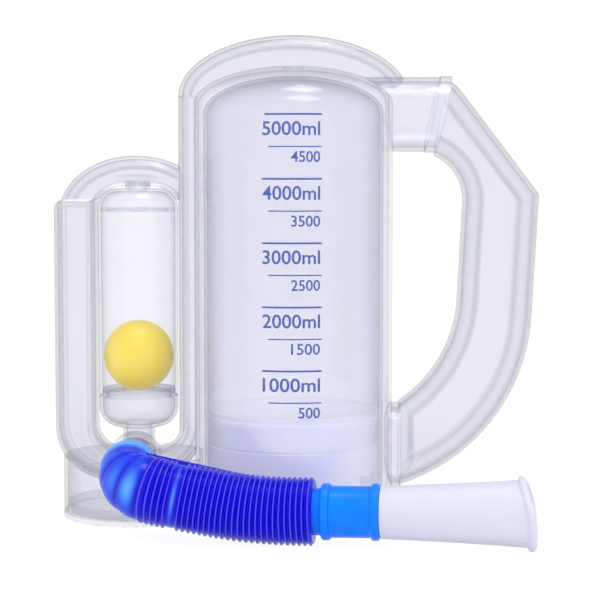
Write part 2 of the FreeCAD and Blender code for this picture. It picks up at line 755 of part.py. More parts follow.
def outlet_cuff():
    bore = outlet_cuff_radius - cuff_wall
    bead_low, bead_high = outlet_neck_length, outlet_neck_length + outlet_bead_width
    end_bead = outlet_cuff_length - outlet_bead_width
    chamfer = outlet_bead_width / 5
    cuff = revolve_about_x([
        (0, outlet_neck_radius),
        (bead_low, outlet_neck_radius),
        (bead_low, outlet_bead_radius - chamfer),
        (bead_low + chamfer, outlet_bead_radius),
        (bead_high - chamfer, outlet_bead_radius),
        (bead_high, outlet_bead_radius - chamfer),
        (bead_high, outlet_cuff_radius),
        (end_bead, outlet_cuff_radius),
        (end_bead + chamfer, outlet_bead_radius),
        (outlet_cuff_length - chamfer, outlet_bead_radius),
        (outlet_cuff_length, outlet_bead_radius - chamfer),
        (outlet_cuff_length, bore),
        (outlet_neck_length + outlet_bead_width, bore),
        (outlet_neck_length, outlet_neck_radius - cuff_wall),
        (0, outlet_neck_radius - cuff_wall),
    ])
    return place_on_outlet(cuff)


def lip_circle(x, radius):
    """A circle of the mouthpiece's slanting end, leaning back at the top."""
    slant = math.radians(lip_slant_deg)
    return Part.Wire(Part.Circle(V(x, 0, 0), V(math.cos(slant), 0, math.sin(slant)), radius).toShape())


def square_circle(x, radius):
    return Part.Wire(Part.Circle(V(x, 0, 0), X_AXIS, radius).toShape())


def mouthpiece():
    start = outlet_cuff_length + mouthpiece_gap
    end = start + mouthpiece_length
    lip_start = end - lip_thickness
    spigot_r = outlet_cuff_radius - cuff_wall - mouthpiece_gap
    tube = Part.makeLoft(
        [square_circle(start, mouthpiece_start_radius), lip_circle(lip_start, mouthpiece_end_radius)],
        True, True,
    )
    lip = Part.makeLoft(
        [
            lip_circle(lip_start, mouthpiece_end_radius),
            lip_circle(lip_start + lip_thickness / 2, lip_radius),
            lip_circle(end, lip_radius - mouthpiece_wall / 2),
        ],
        True, True,
    )
    spigot = Part.makeCylinder(
        spigot_r, mouthpiece_spigot_length + mouthpiece_wall, V(start - mouthpiece_spigot_length, 0, 0), X_AXIS
    )
    bore = Part.makeLoft(
        [
            square_circle(start - mouthpiece_spigot_length - cut_margin, spigot_r - mouthpiece_wall),
            square_circle(start, spigot_r - mouthpiece_wall),
            lip_circle(lip_start, mouthpiece_end_radius - mouthpiece_wall),
            lip_circle(end + cut_margin, mouthpiece_end_radius - mouthpiece_wall),
        ],
        True, True,
    )
    return place_on_outlet(tube.fuse([lip, spigot]).cut(bore))


def make_pieces():
    duct_front, duct_rear = duct_halves()
    handle_front, handle_rear = handle_halves()
    return {
        "base_tray": base_tray(),
        "flow_plinth": flow_plinth(),
        "outer_jacket": outer_jacket(),
        "measuring_cylinder": measuring_cylinder(),
        "piston_stand": piston_stand(),
        "piston_body": piston_body(),
        "piston_wiper": piston_wiper(),
        "duct_front": duct_front,
        "duct_rear": duct_rear,
        "dome_duct": dome_duct(),
        "flow_duct_cap": flow_duct_cap(),
        "flow_tube": flow_tube(),
        "ball_seat": ball_seat(),
        "ball_stop": ball_stop(),
        "float_ball": float_ball(),
        "upper_socket": upper_socket(),
        "handle_collar": handle_collar(),
        "handle_front": handle_front,
        "handle_rear": handle_rear,
        "lower_socket": lower_socket(),
        "port_spigot": port_spigot(),
        "inlet_cuff": inlet_cuff(),
        "corrugated_hose": corrugated_hose(),
        "outlet_cuff": outlet_cuff(),
        "mouthpiece": mouthpiece(),
    }


os.makedirs("parts", exist_ok=True)
for name, shape in make_pieces().items():
    limits = shape.BoundBox
    print(
        "%-20s solids %d valid %s volume %8.0f  x %7.1f %7.1f  y %6.1f %6.1f  z %6.1f %6.1f"
        % (name, len(shape.Solids), shape.isValid(), shape.Volume,
           limits.XMin, limits.XMax, limits.YMin, limits.YMax, limits.ZMin, limits.ZMax)
    )
    shape.exportStep("parts/" + name + ".step")
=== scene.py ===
"""Finish of a bedside breathing trainer: clear mouldings, printed scale, ball, piston and hose.

The file is laid out as an add-on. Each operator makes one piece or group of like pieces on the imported
frame, and main runs them in order. Sizes are in millimetres unless a name says otherwise, and every
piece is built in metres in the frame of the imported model.
"""

import math

import bpy
from mathutils import Matrix, Vector


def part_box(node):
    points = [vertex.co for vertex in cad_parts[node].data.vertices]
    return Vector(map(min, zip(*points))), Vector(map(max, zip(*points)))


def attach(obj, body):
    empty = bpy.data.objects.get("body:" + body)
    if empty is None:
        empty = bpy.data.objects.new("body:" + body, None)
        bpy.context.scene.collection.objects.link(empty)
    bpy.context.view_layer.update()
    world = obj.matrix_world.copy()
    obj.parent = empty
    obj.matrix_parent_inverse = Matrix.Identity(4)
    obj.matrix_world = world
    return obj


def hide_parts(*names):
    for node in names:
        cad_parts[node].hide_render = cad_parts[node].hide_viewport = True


bl_info = {
    "name": "Breathing Trainer Finish",
    "version": (1, 0, 0),
    "blender": (4, 5, 0),
    "location": "3D View > Sidebar > Trainer",
    "description": "Finishes the clear mouldings, scale, ball, piston, hose and mouthpiece",
    "category": "Object",
}

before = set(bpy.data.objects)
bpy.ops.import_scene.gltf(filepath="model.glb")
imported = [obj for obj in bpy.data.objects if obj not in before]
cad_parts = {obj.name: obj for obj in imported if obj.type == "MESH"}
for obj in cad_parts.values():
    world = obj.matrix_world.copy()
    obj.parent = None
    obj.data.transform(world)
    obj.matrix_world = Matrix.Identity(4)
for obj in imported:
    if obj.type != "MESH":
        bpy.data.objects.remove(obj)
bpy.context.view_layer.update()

MM = 0.001
FULL_TURN = 2 * math.pi
WHITE = (1.0, 1.0, 1.0)
WELD = 1e-6  # metres: points closer than this become one

# Steps in a full turn of a spun piece
SPUN_STEPS = 112
PISTON_STEPS = 128

# Edges that bend by more than this many degrees stay crisp in the shading
PACKED_EDGE = 30
PISTON_EDGE = 40
SPUN_EDGE = 50
BALL_EDGE = 60
BELLOWS_EDGE = 75

# Where the hose runs, in metres: control points of one smooth line from the port to the outlet cuff
HOSE_ROUTE = [
    (-0.0785, -0.0500, 0.0300),
    (-0.0785, -0.0555, 0.0300),
    (-0.0776, -0.0635, 0.0274),
    (-0.0680, -0.0706, 0.0246),
    (-0.0520, -0.0716, 0.0212),
    (-0.0376, -0.0728, 0.0188),
    (-0.0230, -0.0750, 0.0167),
]
HOSE_END = Vector((0.0097, -0.0794, 0.0161))
HOSE_END_STEPS = (0.016, 0.008, 0.0)  # how far before the end the last control points lie
OUTLET_YAW = math.radians(-7.6)
OUTLET_PITCH = math.radians(0.85)


def linear_colour(text):
    """Turns an sRGB hex value into a linear colour for the shaders, by the standard's two-part curve."""
    channels = [int(text[i:i + 2], 16) / 255 for i in (1, 3, 5)]
    return tuple(c / 12.92 if c <= 0.04045 else ((c + 0.055) / 1.055) ** 2.4 for c in channels)


class TrainerSettings(bpy.types.PropertyGroup):
    """Sizes and colours that a user of the trainer would change."""

    wall_colour: bpy.props.FloatVectorProperty(
        name="Clear plastic", description="What one surface of the clear plastic lets through",
        subtype="COLOR", size=3, min=0, max=1, default=linear_colour("#FCFCFE"),
    )
    haze_colour: bpy.props.FloatVectorProperty(
        name="Clear plastic haze", description="Faint lavender cast of the moulded plastic",
        subtype="COLOR", size=3, min=0, max=1, default=linear_colour("#DDE0F2"),
    )
    ink_colour: bpy.props.FloatVectorProperty(
        name="Scale ink", description="Blue of the printed scale",
        subtype="COLOR", size=3, min=0, max=1, default=linear_colour("#0A44A4"),
    )
    ball_colour: bpy.props.FloatVectorProperty(
        name="Ball", description="Yellow of the float ball",
        subtype="COLOR", size=3, min=0, max=1, default=linear_colour("#E8CE20"),
    )
    piston_colour: bpy.props.FloatVectorProperty(
        name="Piston", description="White of the piston and its stand",
        subtype="COLOR", size=3, min=0, max=1, default=linear_colour("#F4F5FB"),
    )
    hose_colour: bpy.props.FloatVectorProperty(
        name="Hose", description="Deep blue of the closed corrugations",
        subtype="COLOR", size=3, min=0, max=1, default=linear_colour("#0300C2"),
    )
    # The paler crest colour is partly the thinner plastic on the crests and partly a painted highlight
    # along each crest.
    crest_colour: bpy.props.FloatVectorProperty(
        name="Hose crest", description="Paler violet blue along the crests, where the plastic is thin",
        subtype="COLOR", size=3, min=0, max=1, default=linear_colour("#5952F6"),
    )
    # The pulled colour is the lighter blue of the stretched plastic, laid strongest across the middle of
    # each arch as a painted highlight.
    pulled_colour: bpy.props.FloatVectorProperty(
        name="Pulled hose", description="Lighter blue of the corrugations that are pulled open",
        subtype="COLOR", size=3, min=0, max=1, default=linear_colour("#0D3FDD"),
    )
    cuff_colour: bpy.props.FloatVectorProperty(
        name="Outlet cuff", description="Azure of the cuff that holds the mouthpiece",
        subtype="COLOR", size=3, min=0, max=1, default=linear_colour("#006FF3"),
    )
    inlet_colour: bpy.props.FloatVectorProperty(
        name="Inlet cuff", description="Light blue of the cuff on the trainer's port",
        subtype="COLOR", size=3, min=0, max=1, default=linear_colour("#4C97F8"),
    )
    mouthpiece_colour: bpy.props.FloatVectorProperty(
        name="Mouthpiece", description="Frosted lavender white of the mouthpiece",
        subtype="COLOR", size=3, min=0, max=1, default=linear_colour("#D6D8E6"),
    )
    print_lift: bpy.props.FloatProperty(
        name="Ink thickness", description="How far the ink stands off the cylinder",
        subtype="DISTANCE", unit="LENGTH", default=0.0001, min=0.00002, max=0.001,
    )
    major_height: bpy.props.FloatProperty(
        name="Large figures", description="Height of the figures at each thousand",
        subtype="DISTANCE", unit="LENGTH", default=0.0067, min=0.002, max=0.01,
    )
    minor_height: bpy.props.FloatProperty(
        name="Small figures", description="Height of the figures at each half thousand",
        subtype="DISTANCE", unit="LENGTH", default=0.0053, min=0.002, max=0.01,
    )


def settings():
    """The sizes and colours that the scene holds."""
    return bpy.context.scene.trainer


def select_only(piece):
    """Makes one piece the active and only selected object."""
    bpy.ops.object.select_all(action="DESELECT")
    piece.select_set(True)
    bpy.context.view_layer.objects.active = piece


def link_piece(name, mesh):
    """Puts a mesh into the scene as the one selected object."""
    piece = bpy.data.objects.new(name, mesh)
    bpy.context.scene.collection.objects.link(piece)
    select_only(piece)
    return piece


def edit_all(piece):
    """Opens one piece in edit mode with all of it selected."""
    select_only(piece)
    bpy.ops.object.mode_set(mode="EDIT")
    bpy.ops.mesh.select_all(action="SELECT")


def join_points(piece, gap=WELD, turn_outwards=False):
    """Merges doubled points, and turns the faces outwards on a mesh that is made here."""
    edit_all(piece)
    bpy.ops.mesh.remove_doubles(threshold=gap)
    if turn_outwards:
        bpy.ops.mesh.normals_make_consistent(inside=False)
    bpy.ops.object.mode_set(mode="OBJECT")


def apply_modifiers(piece):
    """Makes every modifier of a piece part of its mesh."""
    select_only(piece)
    for modifier in list(piece.modifiers):
        bpy.ops.object.modifier_apply(modifier=modifier.name)


def smooth(piece, degrees):
    """Shades a piece smoothly, apart from edges that bend by more than some degrees."""
    select_only(piece)
    bpy.ops.object.shade_smooth_by_angle(angle=math.radians(degrees))


def soften(piece, width_mm, segments):
    """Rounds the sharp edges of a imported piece."""
    bevel = piece.modifiers.new("soft_edges", "BEVEL")
    bevel.width = width_mm * MM
    bevel.segments = segments
    bevel.limit_method = "ANGLE"
    bevel.angle_limit = math.radians(50)
    apply_modifiers(piece)
    smooth(piece, PISTON_EDGE)


def finish_piece(piece, body, material, nodes=()):
    """Gives a finished mesh its material and says what it rides on and what it stands for."""
    piece.data.materials.clear()
    piece.data.materials.append(material)
    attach(piece, body)
    if nodes:
        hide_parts(*nodes)
    return piece


def merged_copy(node, name):
    """A copy of a packed moulding with its facets joined and its curved faces evenly shaded."""
    piece = link_piece(name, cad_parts[node].data.copy())
    join_points(piece)
    smooth(piece, PACKED_EDGE)
    even = piece.modifiers.new("even_shading", "WEIGHTED_NORMAL")
    even.keep_sharp = True
    even.weight = 100
    even.mode = "FACE_AREA_WITH_ANGLE"
    apply_modifiers(piece)
    return piece


def spun(name, outline, segments, axis="X"):
    """Turns a closed outline of distance and radius points, in millimetres, about the X or Z axis."""
    if axis == "X":
        points = [(along * MM, 0, radius * MM) for along, radius in outline]
        turn_axis = (1, 0, 0)
    else:
        points = [(radius * MM, 0, along * MM) for along, radius in outline]
        turn_axis = (0, 0, 1)
    count = len(points)
    mesh = bpy.data.meshes.new(name)
    mesh.from_pydata(points, [(i, (i + 1) % count) for i in range(count)], [])
    piece = link_piece(name, mesh)
    edit_all(piece)
    bpy.ops.mesh.spin(steps=segments, angle=FULL_TURN, center=(0, 0, 0), axis=turn_axis)
    bpy.ops.object.mode_set(mode="OBJECT")
    join_points(piece, turn_outwards=True)
    return piece


def rounded(outline, corners, steps=5):
    """Replaces chosen corners of a closed outline by arcs; corners maps their index to a radius."""
    result, count = [], len(outline)
    for i, point in enumerate(outline):
        if i not in corners:
            result.append(point)
            continue
        here = Vector(point)
        before = (Vector(outline[i - 1]) - here).normalized()
        after = (Vector(outline[(i + 1) % count]) - here).normalized()
        half = before.angle(after) / 2
        reach = corners[i] / math.tan(half)
        centre = here + (before + after).normalized() * corners[i] / math.sin(half)
        first, last = here + before * reach - centre, here + after * reach - centre
        for k in range(steps + 1):
            spoke = first.lerp(last, k / steps).normalized() * corners[i]
            result.append(tuple(centre + spoke))
    return result


def outlet_place():
    """The direction in which the hose ends, and the matrix that puts a piece drawn along X there."""
    direction = Vector((
        math.cos(OUTLET_YAW) * math.cos(OUTLET_PITCH),
        math.sin(OUTLET_YAW) * math.cos(OUTLET_PITCH),
        math.sin(OUTLET_PITCH),
    ))
    turn = Vector((1, 0, 0)).rotation_difference(direction)
    return direction, Matrix.Translation(HOSE_END) @ turn.to_matrix().to_4x4()


def add_node(tree, kind, values=None, links=None, **options):
    """Adds one shader node, sets its options and input values, and links its inputs."""
    node = tree.nodes.new("ShaderNode" + kind)
    for name, value in options.items():
        setattr(node, name, value)
    for name, value in (values or {}).items():
        if isinstance(value, (tuple, list)) and len(value) == 3 and node.inputs[name].type == "RGBA":
            value = (*value, 1.0)
        node.inputs[name].default_value = value
    for name, socket in (links or {}).items():
        tree.links.new(socket, node.inputs[name])
    return node


def new_material(name):
    """An empty material and its node tree."""
    material = bpy.data.materials.new(name)
    material.use_nodes = True
    material.node_tree.nodes.clear()
    return material, material.node_tree


def connect_surface(tree, shader_socket):
    """Makes one shader the surface of its material."""
    add_node(tree, "OutputMaterial", links={"Surface": shader_socket})


def noise_field(tree, size_mm, detail=2.0):
    """Noise in object space whose blotches are about this many millimetres across."""
    place = add_node(tree, "TexCoord")
    return add_node(
        tree, "TexNoise", {"Scale": 1 / (size_mm * MM), "Detail": detail},
        {"Vector": place.outputs["Object"]},
    )


def moulded_bump(tree, size_mm, depth_mm, detail=2.0):
    """The faint waviness of a moulded surface, as a bump."""
    waves = noise_field(tree, size_mm, detail)
    return add_node(
        tree, "Bump", {"Strength": 1.0, "Distance": depth_mm * MM}, {"Height": waves.outputs["Fac"]}
    )


# What share of the light one surface lets through, by how far it turns from square on, 0, to edge on, 1
JACKET_PASS = ((0.0, 0.995), (0.5, 0.99), (0.9, 0.97), (1.0, 0.9))
CYLINDER_PASS = ((0.0, 0.995), (0.4, 0.985), (0.8, 0.93), (1.0, 0.8))
DUCT_PASS = (
    (0.0, 0.97), (0.013, 0.97), (0.035, 0.885), (0.07, 0.895),
    (0.13, 0.965), (0.35, 0.95), (0.65, 0.9), (1.0, 0.76),
)
ROUND_PASS = ((0.0, 0.975), (0.35, 0.96), (0.7, 0.9), (1.0, 0.78))

MIRROR_SQUARE_ON = 0.03  # what share one surface mirrors
MIRROR_EDGE_ON = 0.6
MIRROR_RISE = 5.0  # power of the rise between the two


def clear_plastic(name, haze, haze_edge, passes):
    """Injection moulded clear styrene: a faint lavender cast, darker where a wall is seen edge on.

    passes is one of the tables above. haze and haze_edge are the milky share square on and edge on.
    Polished moulds leave the surface glossy, and the melt leaves long soft waves in its highlights.
    """
    values = settings()
    material, tree = new_material(name)
    bump = moulded_bump(tree, size_mm=22, depth_mm=0.05)
    facing = add_node(tree, "LayerWeight", {"Blend": 0.5})
    passed = add_node(tree, "ValToRGB", links={"Fac": facing.outputs["Facing"]})
    stops = passed.color_ramp.elements
    while len(stops) < len(passes):
        stops.new(1.0)
    for stop, (turned, share) in zip(stops, passes):
        stop.position = turned
        stop.color = (*(share * c for c in values.wall_colour), 1.0)
    through = add_node(tree, "BsdfTransparent", links={"Color": passed.outputs["Color"]})
    cast = add_node(
        tree, "BsdfPrincipled",
        {"Base Color": tuple(values.haze_colour), "Roughness": 0.3, "IOR": 1.45},
    )
    haze_share = add_node(
        tree, "MapRange", {"To Min": haze, "To Max": haze_edge}, {"Value": facing.outputs["Facing"]}
    )
    body = add_node(
        tree, "MixShader", links={
            "Fac": haze_share.outputs[0], 1: through.outputs[0], 2: cast.outputs[0],
        },
    )
    shine = add_node(
        tree, "BsdfAnisotropic", {"Roughness": 0.07}, {"Normal": bump.outputs[0]},
    )
    glance = add_node(
        tree, "Math", {1: MIRROR_RISE}, {0: facing.outputs["Facing"]}, operation="POWER"
    )
    mirror_share = add_node(
        tree, "MapRange", {"To Min": MIRROR_SQUARE_ON, "To Max": MIRROR_EDGE_ON},
        {"Value": glance.outputs[0]},
    )
    glossed = add_node(
        tree, "MixShader", links={
            "Fac": mirror_share.outputs[0], 1: body.outputs[0], 2: shine.outputs[0],
        },
    )
    connect_surface(tree, glossed.outputs[0])
    return material


def jacket_plastic():
    """Clear styrene of the jacket, the largest and best polished wall."""
    return clear_plastic("clear_styrene_jacket", haze=0.015, haze_edge=0.06, passes=JACKET_PASS)


def cylinder_plastic():
    """Clear styrene of the measuring cylinder, whose sides show as a soft grey line."""
    return clear_plastic("clear_styrene_cylinder", haze=0.015, haze_edge=0.08, passes=CYLINDER_PASS)


def duct_plastic():
    """Clear styrene of the flat ducts and the handle, whose rounded edges show as grey lines."""
    return clear_plastic("clear_styrene_duct", haze=0.04, haze_edge=0.12, passes=DUCT_PASS)


def round_plastic():
    """Clear styrene of the small round mouldings and the tray."""
    return clear_plastic("clear_styrene_round", haze=0.04, haze_edge=0.12, passes=ROUND_PASS)


def frosted_plastic():
    """Styrene with the fine rubbed surface of a welded joint, which scatters what passes through."""
    return clear_plastic("welded_styrene", haze=0.12, haze_edge=0.25, passes=ROUND_PASS)


# Second tones of the mottled plastics: factors on the main colour, or a colour where the wall is thin
POLYTHENE_SHADE = 0.93
MOUTHPIECE_SHADE = 0.95
BALL_THIN_TINT = (1.03, 1.1, 6.0)
INK_THIN_GAIN = 1.25
INK_THIN_LIFT = 0.01
# The next colour is no wall colour: it is the painted sheen on the pulled corrugations' crests.
BELLOWS_SHEEN = linear_colour("#5CA2F8")
AZURE_THIN = linear_colour("#0081FD")
INLET_THIN = linear_colour("#79B5FB")


def satin_polythene(name, colour, roughness, glow):
    """Injection moulded white polythene: waxy, softly glossy, light carried a little way inside, and a
    painted glow of its own colour that lifts its shaded sides.
    """
    material, tree = new_material(name)
    bump = moulded_bump(tree, size_mm=3, depth_mm=0.02, detail=3.0)
    blotch = noise_field(tree, size_mm=18)
    tone = add_node(
        tree, "MixRGB", {"Color1": colour, "Color2": tuple(c * POLYTHENE_SHADE for c in colour)},
        {"Fac": blotch.outputs["Fac"]},
    )
    # The emission of the plastic's own colour, of strength glow, is a painted glow that lifts its shaded
    # sides.
    shader = add_node(
        tree, "BsdfPrincipled",
        {
            "Roughness": roughness, "IOR": 1.5, "Subsurface Weight": 0.15, "Subsurface Scale": 0.002,
            "Emission Color": colour, "Emission Strength": glow,
        },
        {"Base Color": tone.outputs[0], "Normal": bump.outputs[0]},
    )
    connect_surface(tree, shader.outputs[0])
    return material


def ball_plastic():
    """Blow moulded yellow polypropylene: glossy, with the soft mottling of a thin wall."""
    values = settings()
    colour = tuple(values.ball_colour)
    material, tree = new_material("yellow_polypropylene")
    mottle = noise_field(tree, size_mm=11, detail=3.0)
    patches = add_node(
        tree, "MapRange", {"From Min": 0.35, "From Max": 0.65}, {"Value": mottle.outputs["Fac"]}
    )
    thin = tuple(c * tint for c, tint in zip(colour, BALL_THIN_TINT))
    tone = add_node(
        tree, "MixRGB", {"Color1": colour, "Color2": thin}, {"Fac": patches.outputs[0]}
    )
    bump = moulded_bump(tree, size_mm=9, depth_mm=0.05)
    # The emission of the ball's own colour is a painted glow that lifts its shaded lower side.
    shader = add_node(
        tree, "BsdfPrincipled",
        {
            "Roughness": 0.28, "IOR": 1.49, "Subsurface Weight": 0.1, "Subsurface Scale": 0.003,
            "Emission Color": colour, "Emission Strength": 0.26,
        },
        {"Base Color": tone.outputs[0], "Normal": bump.outputs[0]},
    )
    connect_surface(tree, shader.outputs[0])
    return material


def hose_plastic():
    """Extruded polythene bellows: deep blue where closed, lighter blue where pulled open, paler along
    the crests partly from thinner plastic and partly as a painted highlight, with a painted sheen on the
    pulled crests.
    """
    values = settings()
    material, tree = new_material("blue_polythene_bellows")
    crest = add_node(tree, "Attribute", attribute_name="crest")
    pulled = add_node(tree, "Attribute", attribute_name="pulled")
    # The thin attribute holds a painted sheen on the pulled corrugations, strongest on their side toward
    # the camera and key light.
    thin = add_node(tree, "Attribute", attribute_name="thin")
    # The crest mask paints the crests and the middles of the arches paler: partly thinner plastic,
    # partly a painted highlight.
    closed_tone = add_node(
        tree, "MixRGB", {"Color1": tuple(values.hose_colour), "Color2": tuple(values.crest_colour)},
        {"Fac": crest.outputs["Fac"]},
    )
    arch_tone = add_node(
        tree, "MixRGB", {"Color1": tuple(values.hose_colour), "Color2": tuple(values.pulled_colour)},
        {"Fac": crest.outputs["Fac"]},
    )
    open_tone = add_node(
        tree, "MixRGB", {"Color2": BELLOWS_SHEEN},
        {"Fac": thin.outputs["Fac"], "Color1": arch_tone.outputs[0]},
    )
    tone = add_node(
        tree, "MixRGB", links={
            "Fac": pulled.outputs["Fac"],
            "Color1": closed_tone.outputs[0],
            "Color2": open_tone.outputs[0],
        },
    )
    bump = moulded_bump(tree, size_mm=2.5, depth_mm=0.02)
    shader = add_node(
        tree, "BsdfPrincipled", {"Roughness": 0.22, "IOR": 1.5, "Specular IOR Level": 0.2},
        {"Base Color": tone.outputs[0], "Normal": bump.outputs[0]},
    )
    connect_surface(tree, shader.outputs[0])
    return material


def cuff_plastic(name, colour, pale):
    """Moulded blue polythene cuff, a touch paler where its wall is thin."""
    material, tree = new_material(name)
    bump = moulded_bump(tree, size_mm=6, depth_mm=0.03)
    cloud = noise_field(tree, size_mm=12)
    tone = add_node(
        tree, "MixRGB", {"Color1": colour, "Color2": pale}, {"Fac": cloud.outputs["Fac"]}
    )
    shader = add_node(
        tree, "BsdfPrincipled",
        {"Roughness": 0.25, "IOR": 1.5, "Specular IOR Level": 0.15},
        {"Base Color": tone.outputs[0], "Normal": bump.outputs[0]},
    )
    connect_surface(tree, shader.outputs[0])
    return material


def mouthpiece_plastic():
    """Frosted polypropylene: a fine matt skin that lets a little of what is behind it show."""
    values = settings()
    colour = tuple(values.mouthpiece_colour)
    material, tree = new_material("frosted_polypropylene")
    bump = moulded_bump(tree, size_mm=0.8, depth_mm=0.01, detail=3.0)
    cloud = noise_field(tree, size_mm=14)
    tone = add_node(
        tree, "MixRGB", {"Color1": colour, "Color2": tuple(c * MOUTHPIECE_SHADE for c in colour)},
        {"Fac": cloud.outputs["Fac"]},
    )
    # The emission of its own colour is a painted glow that lifts the shaded lip and the inside of the
    # mouth.
    skin = add_node(
        tree, "BsdfPrincipled",
        {
            "Roughness": 0.42, "IOR": 1.49, "Subsurface Weight": 0.2, "Subsurface Scale": 0.004,
            "Emission Color": colour, "Emission Strength": 0.08,
        },
        {"Base Color": tone.outputs[0], "Normal": bump.outputs[0]},
    )
    through = add_node(tree, "BsdfTransparent", {"Color": colour})
    mixed = add_node(
        tree, "MixShader", {"Fac": 0.8}, {1: through.outputs[0], 2: skin.outputs[0]}
    )
    connect_surface(tree, mixed.outputs[0])
    return material


def printed_ink():
    """Pad printed blue ink, satin, a little uneven in cover."""
    values = settings()
    colour = tuple(values.ink_colour)
    material, tree = new_material("pad_printed_ink")
    cover = noise_field(tree, size_mm=1.5, detail=3.0)
    thin = tuple(min(1.0, c * INK_THIN_GAIN + INK_THIN_LIFT) for c in colour)
    tone = add_node(
        tree, "MixRGB", {"Color1": colour, "Color2": thin}, {"Fac": cover.outputs["Fac"]}
    )
    shader = add_node(
        tree, "BsdfPrincipled", {"Roughness": 0.45, "IOR": 1.45}, {"Base Color": tone.outputs[0]}
    )
    connect_surface(tree, shader.outputs[0])
    return material


TABLE_SIZE = 6  # metres
TABLE_WHITE = linear_colour("#F6F6F7")
TABLE_GLOW_SHARE = 0.86  # the rest of what is seen of the table is lit, and takes the shadow

WORLD_LIGHT = 0.97  # strength of the world where it lights a matt surface
WORLD_SEEN = 1.055  # and where it is seen, mirrored or looked through at
CEILING_WAY = (0.0, 0.8, 0.6)  # direction of the dark ceiling, up and behind
CEILING_DARK = 0.1
CEILING_FALL_OFF = 12.0

LIGHTS_TARGET = Vector((0, 0, 0.11))  # metres
# Name, place, width and height in metres, and power of each softbox, and whether gloss shows it
SOFTBOXES = (
    ("key_softbox", (-0.75, -1.1, 0.85), 0.7, 0.9, 4.0, False),
    ("fill_softbox", (0.95, -0.9, 0.5), 0.5, 0.9, 3.0, False),
    ("top_softbox", (0.12, -0.1, 1.2), 0.4, 0.4, 3.5, True),
)

CAMERA_PLACE = Vector((3.25, -897.5, 174.4)) * MM
CAMERA_TARGET = Vector((3.25, 0, 107.7)) * MM
CAMERA_LENS = 108
CAMERA_SENSOR = 36


def studio_floor():
    """Smooth matt white table whose own light keeps the object's shadow soft and pale."""
    material, tree = new_material("white_table")
    lit = add_node(tree, "BsdfDiffuse", {"Color": TABLE_WHITE})
    glow = add_node(tree, "Emission", {"Color": WHITE, "Strength": 1.08})
    path = add_node(tree, "LightPath")
    seen = add_node(
        tree, "Math", links={0: path.outputs["Is Camera Ray"], 1: path.outputs["Is Glossy Ray"]},
        operation="ADD", use_clamp=True,
    )
    seen = add_node(
        tree, "Math", links={0: seen.outputs[0], 1: path.outputs["Is Transmission Ray"]},
        operation="ADD", use_clamp=True,
    )
    share = add_node(
        tree, "Math", {1: TABLE_GLOW_SHARE}, {0: seen.outputs[0]}, operation="MULTIPLY"
    )
    mixed = add_node(
        tree, "MixShader", links={"Fac": share.outputs[0], 1: lit.outputs[0], 2: glow.outputs[0]}
    )
    connect_surface(tree, mixed.outputs[0])
    return material


class TRAINER_OT_stage(bpy.types.Operator):
    """Sets up the white table, the studio lights and the camera"""

    bl_idname = "trainer.stage"
    bl_label = "Stage"

    def execute(self, context):
        scene = context.scene
        scene.view_settings.view_transform = "Standard"
        scene.cycles.transparent_max_bounces = 64
        self.add_world(scene)
        bpy.ops.mesh.primitive_plane_add(size=TABLE_SIZE, location=(0, 0, 0))
        floor = context.active_object
        floor.name = "table_top"
        floor.data.materials.append(studio_floor())
        for softbox in SOFTBOXES:
            self.add_light(scene, *softbox)
        self.add_camera(scene)
        return {"FINISHED"}

    def add_world(self, scene):
        """White all round. A dark patch, up and behind, shows only as grey lines in glossy top edges."""
        world = scene.world or bpy.data.worlds.new("studio")
        scene.world = world
        world.use_nodes = True
        tree = world.node_tree
        tree.nodes.clear()
        path = add_node(tree, "LightPath")
        soft = add_node(tree, "Background", {"Color": WHITE, "Strength": WORLD_LIGHT})
        direction = add_node(tree, "TexCoord")
        rise = add_node(
            tree, "VectorMath", {1: CEILING_WAY}, {0: direction.outputs["Generated"]},
            operation="DOT_PRODUCT",
        )
        above = add_node(tree, "Math", {1: 0.0}, {0: rise.outputs["Value"]}, operation="MAXIMUM")
        ceiling = add_node(
            tree, "Math", {1: CEILING_FALL_OFF}, {0: above.outputs[0]}, operation="POWER"
        )
        mirrored = add_node(
            tree, "Math", links={0: ceiling.outputs[0], 1: path.outputs["Is Glossy Ray"]},
            operation="MULTIPLY",
        )
        level = add_node(
            tree, "MapRange", {"To Min": WORLD_SEEN, "To Max": CEILING_DARK},
            {"Value": mirrored.outputs[0]},
        )
        white = add_node(tree, "Background", {"Color": WHITE}, {"Strength": level.outputs[0]})
        mixed = add_node(
            tree, "MixShader", links={
                "Fac": path.outputs["Is Diffuse Ray"], 1: white.outputs[0], 2: soft.outputs[0],
            },
        )
        add_node(tree, "OutputWorld", links={"Surface": mixed.outputs[0]})

    def add_light(self, scene, name, place, width, height, power, in_gloss):
        data = bpy.data.lights.new(name, "AREA")
        data.shape = "RECTANGLE"
        data.size = width
        data.size_y = height
        data.energy = power
        light = self.aimed(scene, name, data, Vector(place), LIGHTS_TARGET)
        light.visible_glossy = in_gloss

    def add_camera(self, scene):
        data = bpy.data.cameras.new("photo_camera")
        data.lens = CAMERA_LENS
        data.sensor_width = CAMERA_SENSOR
        scene.camera = self.aimed(scene, "photo_camera", data, CAMERA_PLACE, CAMERA_TARGET)

    def aimed(self, scene, name, data, place, target):
        """Puts a lamp or camera at its place, looking at its target."""
        item = bpy.data.objects.new(name, data)
        item.location = place
        item.rotation_euler = (target - place).to_track_quat("-Z", "Y").to_euler()
        scene.collection.objects.link(item)
        return item


CLEAR_DUCTS = (
    "duct_front", "duct_rear", "dome_duct", "flow_duct_cap", "handle_front", "handle_rear",
)
CLEAR_ROUNDS = (
    "base_tray", "flow_plinth", "ball_seat", "upper_socket", "lower_socket", "port_spigot",
)


